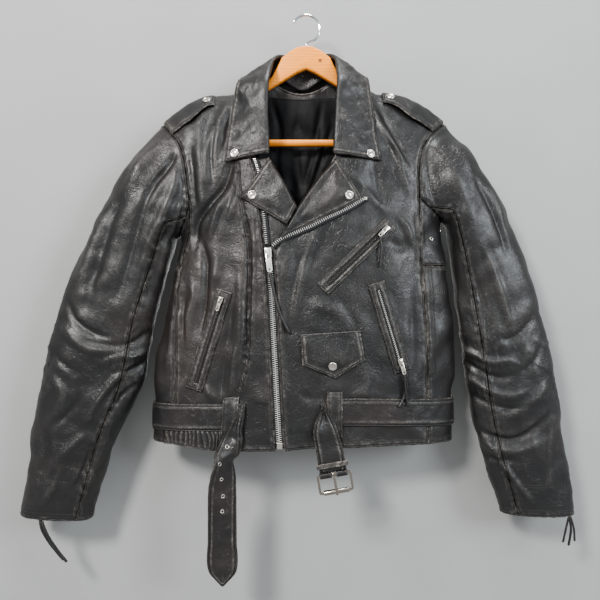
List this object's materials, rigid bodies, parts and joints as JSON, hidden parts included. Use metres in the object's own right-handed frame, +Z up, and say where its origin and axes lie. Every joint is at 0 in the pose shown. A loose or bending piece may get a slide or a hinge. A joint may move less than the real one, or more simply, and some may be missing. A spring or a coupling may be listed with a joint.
{
  "type": "biker jacket on hanger",
  "caption": "Asymmetric leather biker jacket with slanted main zip, lapels, zip pockets and hanging belt, on a wooden trouser hanger with a wire hook.",
  "frame": {"origin": "inner top of the hook's round, where the hanger hangs on its nail, peg or rail", "axes": "+Z up, -Y out of the jacket's front, +X to the wearer's left"},
  "size_m": [0.912, 0.1308, 0.9213],
  "materials": {
    "leather": "worn black leather, satin",
    "thong_leather": "soft black leather thong",
    "lining": "black satin",
    "nickel": "nickel-plated, slightly worn",
    "hook_chrome": "bright chrome wire",
    "maple": "clear lacquered maple"
  },
  "bodies": {
    "jacket": {"front_right": "leather", "front_left": "leather", "underlap": "leather", "back": "leather", "lining_back": "lining", "gusset_right": "leather", "gusset_left": "leather", "side_right": "leather", "side_left": "leather", "sleeve_right_upper": "leather", "sleeve_right_under": "leather", "sleeve_left_upper": "leather", "sleeve_left_under": "leather", "collar": "leather", "lapel_right": "leather", "lapel_left": "leather", "zip_chain": "nickel", "zip_row_right": "nickel", "zip_row_left": "nickel", "welt_chest": "leather", "pocket_zip_chest": "nickel", "welt_lower_left": "leather", "pocket_zip_lower_left": "nickel", "welt_lower_right": "leather", "pocket_zip_lower_right": "nickel", "pocket_flap": "leather", "epaulette_right": "leather", "snap_epaulette_right": "nickel", "epaulette_left": "leather", "snap_epaulette_left": "nickel", "belt": "leather", "belt_loop_right": "leather", "belt_loop_left": "leather", "belt_tail": "leather", "belt_buckle_end": "leather", "belt_keeper": "leather", "hanger_wood": "maple", "hanger_bar": "maple", "hanger_hook": "hook_chrome", "slider_main": "nickel", "slider_chest": "nickel", "slider_lower_left": "nickel", "slider_lower_right": "nickel", "snap_collar_right": "nickel", "snap_collar_left": "nickel", "snap_lapel_right": "nickel", "snap_lapel_left": "nickel", "snap_flap": "nickel", "cuff_thong_right": "thong_leather", "cuff_thong_left": "thong_leather"},
    "main_tab": {"tab_main": "nickel", "thong_main": "thong_leather"},
    "chest_tab": {"tab_chest": "nickel", "thong_chest": "thong_leather"},
    "lower_left_tab": {"tab_lower_left": "nickel", "thong_lower_left": "thong_leather"},
    "lower_right_tab": {"tab_lower_right": "nickel"},
    "frame": {"buckle_frame": "nickel"},
    "tongue": {"buckle_tongue": "nickel"},
    "roller": {"buckle_roller": "nickel"}
  },
  "joints": [
    {"name": "main_tab_swing", "type": "hinge", "parent": "jacket", "child": "main_tab", "pos_m": [-0.05961, -0.06423, -0.39754], "axis": [-0.9928, 0.0481, -0.1093], "range_deg": [0, 120]},
    {"name": "chest_tab_swing", "type": "hinge", "parent": "jacket", "child": "chest_tab", "pos_m": [0.12414, -0.06033, -0.35896], "axis": [-0.6907, -0.0529, 0.7212], "range_deg": [0, 120]},
    {"name": "lower_left_tab_swing", "type": "hinge", "parent": "jacket", "child": "lower_left_tab", "pos_m": [0.14791, -0.06213, -0.56812], "axis": [-0.9491, -0.1301, -0.2868], "range_deg": [0, 120]},
    {"name": "lower_right_tab_swing", "type": "hinge", "parent": "jacket", "child": "lower_right_tab", "pos_m": [-0.13495, -0.06124, -0.47089], "axis": [-0.9477, 0.1419, 0.2859], "range_deg": [0, 120]},
    {"name": "buckle_frame_swing", "type": "hinge", "parent": "jacket", "child": "frame", "pos_m": [0.042, -0.074, -0.737], "axis": [-0.9854, 0, -0.17], "range_deg": [-80, 60]},
    {"name": "buckle_tongue_swing", "type": "hinge", "parent": "frame", "child": "tongue", "pos_m": [0.042, -0.074, -0.737], "axis": [-0.9854, 0, -0.17], "range_deg": [0, 75]},
    {"name": "buckle_roller_spin", "type": "hinge", "parent": "frame", "child": "roller", "pos_m": [0.04659, -0.074, -0.76361], "axis": [-0.9854, 0, -0.17], "continuous": true}
  ]
}
